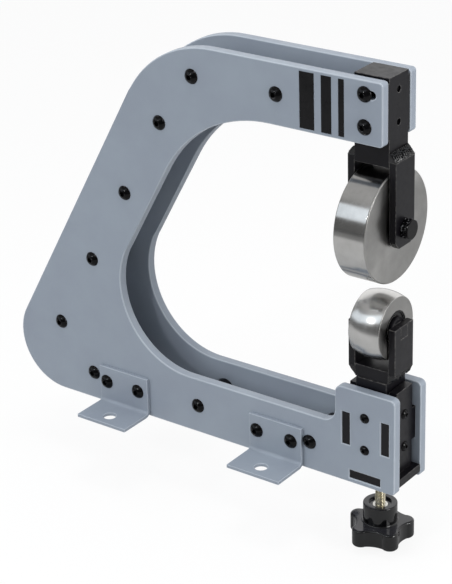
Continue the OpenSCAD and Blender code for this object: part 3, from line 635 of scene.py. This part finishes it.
def weld_pair(node, block, up_sign):
    """The two fillets that join a fork's arms to the block between them."""
    low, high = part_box(node)
    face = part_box(block)[1].x - WHEEL_X
    leg = high.x - WHEEL_X - face
    foot_z, top_z = (low.z, high.z) if up_sign > 0 else (high.z, low.z)
    bm = bmesh.new()
    for side in (-1, 1):
        corner = Vector((WHEEL_X + side * face, 0, foot_z))
        weld_bead(bm, corner, Vector((side * leg, 0, 0)), Vector((0, 0, top_z - foot_z)), high.y)
    show_node(bm, node, (WELD,))


weld_pair("upper_fork_welds", "head_block", 1)
weld_pair("yoke_welds", "yoke_base", -1)


# Wheels

# Places of the two materials on a wheel
TREAD = 0
FACE = 1
SEAT_CHAMFER = 0.6 * MM


def mirrored(half):
    """A wheel's profile from its half on the positive side, given from the tread's middle to the bore's."""
    return half + [(-x, r, m) for x, r, m in reversed(half)]


def bearing_seat(half, seat_r, seat_depth, shoulder_r):
    """The part of a wheel's profile from its side face into the bearing's seat."""
    return [
        (half, seat_r + SEAT_CHAMFER, FACE), (half - SEAT_CHAMFER, seat_r, FACE),
        (half - seat_depth, seat_r, FACE), (half - seat_depth, shoulder_r, FACE),
    ]


def upper_wheel():
    """Flat wheel with chamfered edges, its bearings' seats and the shoulder between them."""
    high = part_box("upper_wheel")[1]
    r = high.z - UPPER_Z
    half = high.x - WHEEL_X
    chamfer = 1.5 * MM
    blunt = 0.15 * MM
    margin = 0.4 * MM
    rim = [
        (half - chamfer - margin, r, TREAD), (half - chamfer, r - blunt, FACE),
        (half - blunt, r - chamfer, FACE), (half, r - chamfer - margin, FACE),
    ]
    seat = bearing_seat(half, seat_r=23.5 * MM, seat_depth=17 * MM, shoulder_r=20.5 * MM)
    bm = turned_mesh(mirrored(rim + seat), Vector((WHEEL_X, 0, UPPER_Z)), X)
    for f in bm.faces:
        if all(abs(math.hypot(v.co.y, v.co.z - UPPER_Z) - r) < ON_SURFACE for v in f.verts):
            f.material_index = TREAD
    show_node(bm, "upper_wheel", (UPPER_TREAD, UPPER_FACE), sharp_angle=30)


def anvil_wheel():
    """Crowned wheel with rounded edges, its bearings' seats and the shoulder between them."""
    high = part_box("anvil_wheel")[1]
    r = high.z - ANVIL_Z
    half = high.x - WHEEL_X
    drop = 5 * MM
    edge_r = 1.5 * MM
    seat_r = 27.5 * MM
    crown_r = (half * half + drop * drop) / (2 * drop)
    crown_end = half - edge_r
    crown_steps = 24
    edge_angles = (40, 60, 75, 90)
    crown = []
    for i in range(1, crown_steps + 1):
        x = crown_end * i / crown_steps
        crown.append((x, r - crown_r + math.sqrt(crown_r ** 2 - x * x), TREAD))
    end_r = crown[-1][1]
    corner = [
        (crown_end + edge_r * math.sin(a), end_r - edge_r * (1 - math.cos(a)), FACE)
        for a in (math.radians(v) for v in edge_angles)
    ]
    seat = bearing_seat(half, seat_r, seat_depth=16 * MM, shoulder_r=24.5 * MM)
    bm = turned_mesh(mirrored(crown + corner + seat), Vector((WHEEL_X, 0, ANVIL_Z)), X)
    for f in bm.faces:
        reach = max(abs(v.co.x - WHEEL_X) for v in f.verts)
        least_r = min(math.hypot(v.co.y, v.co.z - ANVIL_Z) for v in f.verts)
        if least_r > seat_r + edge_r and reach < crown_end + ON_SURFACE:
            f.material_index = TREAD
    show_node(bm, "anvil_wheel", (ANVIL_TREAD, ANVIL_FACE), sharp_angle=35)


upper_wheel()
anvil_wheel()


# Lift screw and knob

THREAD_PITCH = 2 * MM
THREAD_DEPTH = 1.15 * MM
THREAD_FLAT = 0.2
THREAD_TOP = 46 * MM
ROWS_PER_TURN = 10
THREAD_AROUND = 32


def lift_screw():
    """The lift screw with its thread cut to where it enters the slider."""
    low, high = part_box("lift_screw")
    crest = (high.x - low.x) / 2
    solid = bmesh.new()
    solid.from_mesh(nodes["lift_screw"].data)
    tree = BVHTree.FromBMesh(solid)
    solid.free()
    rows = round((high.z - low.z) / (THREAD_PITCH / ROWS_PER_TURN))
    inset = 0.02 * MM
    bm = bmesh.new()
    grid = []
    for k in range(rows + 1):
        z = low.z + (high.z - low.z) * k / rows
        inside_z = min(max(z, low.z + inset), high.z - inset)
        hit = tree.ray_cast(Vector((WHEEL_X + 2 * crest, 0, inside_z)), Vector((-1, 0, 0)))[0]
        turned_r = hit.x - WHEEL_X
        row = []
        for i in range(THREAD_AROUND):
            a = 2 * math.pi * i / THREAD_AROUND
            phase = (z / THREAD_PITCH - i / THREAD_AROUND) % 1
            groove = max(0, 1 - max(0, abs(2 * phase - 1) - THREAD_FLAT) / (1 - 2 * THREAD_FLAT))
            depth = THREAD_DEPTH * min(1, groove) if z < THREAD_TOP else 0
            r = min(turned_r, crest - depth)
            row.append(bm.verts.new((WHEEL_X + r * math.cos(a), r * math.sin(a), z)))
        grid.append(row)
    for lower, upper in zip(grid, grid[1:]):
        for i in range(THREAD_AROUND):
            bm.faces.new((lower[i - 1], lower[i], upper[i], upper[i - 1]))
    bm.faces.new(list(reversed(grid[0])))
    bm.faces.new(grid[-1])
    show_node(bm, "lift_screw", (ZINC,), sharp_angle=60)


KNOB_ROUND = 3.5 * MM
HUB_ROUND = 1.6 * MM
HUB_FILLET = 2.5 * MM
HUB_SUNK = 0.5 * MM
RECESS_ROUND = 0.8 * MM
# The middle point of that rounding, down from the hub's top and out from the recess's wall
RECESS_MIDDLE = (0.3 * MM, 0.2 * MM)


def star_knob():
    """Five-lobed moulded knob with rounded rims, and its hub with a recess around the insert."""
    low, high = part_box("star_knob")
    hub_r = 27.5 * MM
    recess_r = 18 * MM
    insert_r = 12.5 * MM
    lobe_top = low.z + 30 * MM
    recess_floor = high.z - 4 * MM
    loops = face_loops("star_knob", Z, -1)
    bm = sawn_mesh(loops, Z, -1, lobe_top - low.z, KNOB_ROUND, segments=5)
    for f in bm.faces:
        f.material_index = 0
    outline = [(lobe_top - HUB_SUNK, hub_r + HUB_FILLET)]
    for a in quarter(6):
        outline.append((
            lobe_top + HUB_FILLET * (1 - math.cos(a)), hub_r + HUB_FILLET * (1 - math.sin(a))
        ))
    for a in quarter(4):
        outline.append((high.z - HUB_ROUND * (1 - math.sin(a)), hub_r - HUB_ROUND * (1 - math.cos(a))))
    outline += [
        (high.z, recess_r + RECESS_ROUND), (high.z - RECESS_MIDDLE[0], recess_r + RECESS_MIDDLE[1]),
        (high.z - RECESS_ROUND, recess_r), (recess_floor + RECESS_ROUND, recess_r),
        (recess_floor, recess_r - RECESS_ROUND), (recess_floor, insert_r),
        (lobe_top - HUB_SUNK, insert_r),
    ]
    hub = [(z, r, 0) for z, r in outline]
    join(bm, turned_mesh(hub, Vector((WHEEL_X, 0, 0)), Z, segments=96))
    show_node(bm, "star_knob", (PLASTIC,), sharp_angle=40)


lift_screw()
star_knob()


# Plain bars on the upper arm

ARM_W = 98 * MM
BARS_FROM = 208 * MM
BAR_WIDTHS = (26 * MM, 18 * MM, 10 * MM)
BAR_GAP = 12 * MM
BAR_MARGIN = 5 * MM
FILM_T = 0.15 * MM
FILM_ROUND = 0.05 * MM


def bars():
    """Three upright bars of film on the near plate, for the machine's own marking."""
    plate_low, plate_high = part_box("near_side_plate")
    bar_low = plate_high.z - ARM_W + BAR_MARGIN
    bar_high = plate_high.z - BAR_MARGIN
    x = BARS_FROM
    bm = bmesh.new()
    for width in BAR_WIDTHS:
        corners = [(x, bar_low), (x + width, bar_low), (x + width, bar_high), (x, bar_high)]
        loop = [Vector((cx, plate_low.y - FILM_T, cz)) for cx, cz in corners]
        join(bm, sawn_mesh([loop], Y, -1, FILM_T, FILM_ROUND, segments=1))
        x += width + BAR_GAP
    show(bm, "arm_bars", (VINYL,), "frame")


bars()


# Stage

# The floor: its height just below the knob at its lowest, half its side, its colours near and far
# from the machine, where the colour fades, and the share and strength of the white that a camera sees
FLOOR_Z = -0.127
FLOOR_HALF = 8
FLOOR_WHITE = 0.56
FLOOR_DARK = 0.2
FLOOR_FADE = (-1.75, -1.35)
GLOW_SHARE = 0.84
GLOW = 1.06

# Brightness of the surroundings, where 1 is white
ROOM = 0.17
WALL = 1.22
CEILING = 0.56
PANEL = 1.25
PANEL_TINT = (0.86, 0.93, 1.0, 1)
WHITE = (1, 1, 1, 1)

# Where these surroundings fade into each other, as coordinates of the direction towards them
WALL_FADE = (-0.25, 0.25)
CEILING_FADE = (0.5, 0.78)
PANEL_FOOT_FADE = (0.15, 0.21)
PANEL_TOP_FADE = (0.5, 0.56)
PANEL_BACK_FADE = (-0.35, -0.15)
PANEL_SIDE_FADE = (0.15, 0.4)
# How much higher the panel stands at its one end, and between which places it rises
PANEL_RISE = 0.3
PANEL_SLOPE = (-0.7, 0.1)

# Soft lamps: name, direction, distance, width and height in metres, watts, whether reflections show them
LAMP_AIM = Vector((0.05, 0, 0.3))
LAMPS = (
    ("key_light", (-0.5, -0.82, 0.34), 3.2, (1.0, 1.0), 24, False),
    ("front_light", (0.95, -0.06, 0.26), 3.2, (1.0, 1.2), 48, True),
    ("small_light", (-0.1, -0.85, 0.5), 3.2, (0.24, 0.24), 17, True),
    ("top_light", (0.12, -0.1, 1.0), 2.4, (0.8, 0.8), 19, False),
)


def make_floor():
    """White floor that keeps its shadows and is darker far in front of the machine."""
    mesh = bpy.data.meshes.new("floor")
    bm = bmesh.new()
    bmesh.ops.create_grid(bm, x_segments=1, y_segments=1, size=FLOOR_HALF)
    bm.to_mesh(mesh)
    bm.free()
    floor = bpy.data.objects.new("floor", mesh)
    floor.location = (0, 0, FLOOR_Z)
    bpy.context.scene.collection.objects.link(floor)
    material = bpy.data.materials.new("floor")
    material.use_nodes = True
    material.node_tree.nodes.clear()
    t = Tree(material.node_tree)
    seen = t.add("ShaderNodeLightPath").outputs["Is Camera Ray"]
    y = t.coordinates(t.add("ShaderNodeTexCoord").outputs["Object"])["Y"]
    faded = t.span(y, FLOOR_DARK, FLOOR_WHITE, *FLOOR_FADE, smooth=True)
    diffuse = t.add("ShaderNodeBsdfDiffuse")
    t.link(t.math("MAXIMUM", faded, t.product(seen, FLOOR_WHITE)), diffuse.inputs["Color"])
    glow = t.add("ShaderNodeEmission")
    glow.inputs["Strength"].default_value = GLOW
    mix = t.add("ShaderNodeMixShader")
    t.link(t.product(seen, GLOW_SHARE), mix.inputs[0])
    t.link(diffuse.outputs[0], mix.inputs[1])
    t.link(glow.outputs[0], mix.inputs[2])
    t.link(mix.outputs[0], t.add("ShaderNodeOutputMaterial").inputs["Surface"])
    mesh.materials.append(material)


def make_world():
    """Surroundings: a bright wall behind, a dim room in front with one soft panel, a grey ceiling."""
    world = bpy.data.worlds.new("world")
    bpy.context.scene.world = world
    world.use_nodes = True
    t = Tree(world.node_tree)
    background = world.node_tree.nodes["Background"]
    x, y, z = t.coordinates(t.add("ShaderNodeTexCoord").outputs["Generated"])
    wall = t.span(y, ROOM, WALL, *WALL_FADE, smooth=True)
    low = t.span(z, 1, 0, *CEILING_FADE, smooth=True)
    over = t.product(CEILING, t.math("SUBTRACT", 1, low))
    around = t.math("ADD", t.product(wall, low), over)
    height = t.math("SUBTRACT", z, t.span(x, 0, PANEL_RISE, *PANEL_SLOPE))
    panel = t.product(
        t.span(height, 0, 1, *PANEL_FOOT_FADE, smooth=True),
        t.span(height, 1, 0, *PANEL_TOP_FADE, smooth=True),
    )
    panel = t.product(panel, t.span(y, 1, 0, *PANEL_BACK_FADE, smooth=True))
    panel = t.product(panel, t.span(x, 1, 0, *PANEL_SIDE_FADE, smooth=True))
    studio = t.math("ADD", around, t.product(panel, PANEL))
    path = t.add("ShaderNodeLightPath")
    seen = t.math("MAXIMUM", path.outputs["Is Camera Ray"], path.outputs["Is Transmission Ray"])
    unseen = t.math("SUBTRACT", 1, seen)
    t.link(t.between(t.product(panel, unseen), WHITE, PANEL_TINT), background.inputs["Color"])
    t.link(t.math("ADD", t.product(studio, unseen), seen), background.inputs["Strength"])


def make_lamp(name, direction, distance, size, watts, reflected):
    """A soft rectangular lamp that shines at the machine from a direction."""
    data = bpy.data.lights.new(name, "AREA")
    data.shape = "RECTANGLE"
    data.size, data.size_y = size
    data.energy = watts
    lamp = bpy.data.objects.new(name, data)
    out = Vector(direction).normalized()
    lamp.location = LAMP_AIM + distance * out
    lamp.rotation_euler = out.to_track_quat("Z", "Y").to_euler()
    lamp.visible_glossy = reflected
    bpy.context.scene.collection.objects.link(lamp)


make_floor()
make_world()
for settings in LAMPS:
    make_lamp(*settings)
scene = bpy.context.scene
scene.view_settings.view_transform = "Standard"
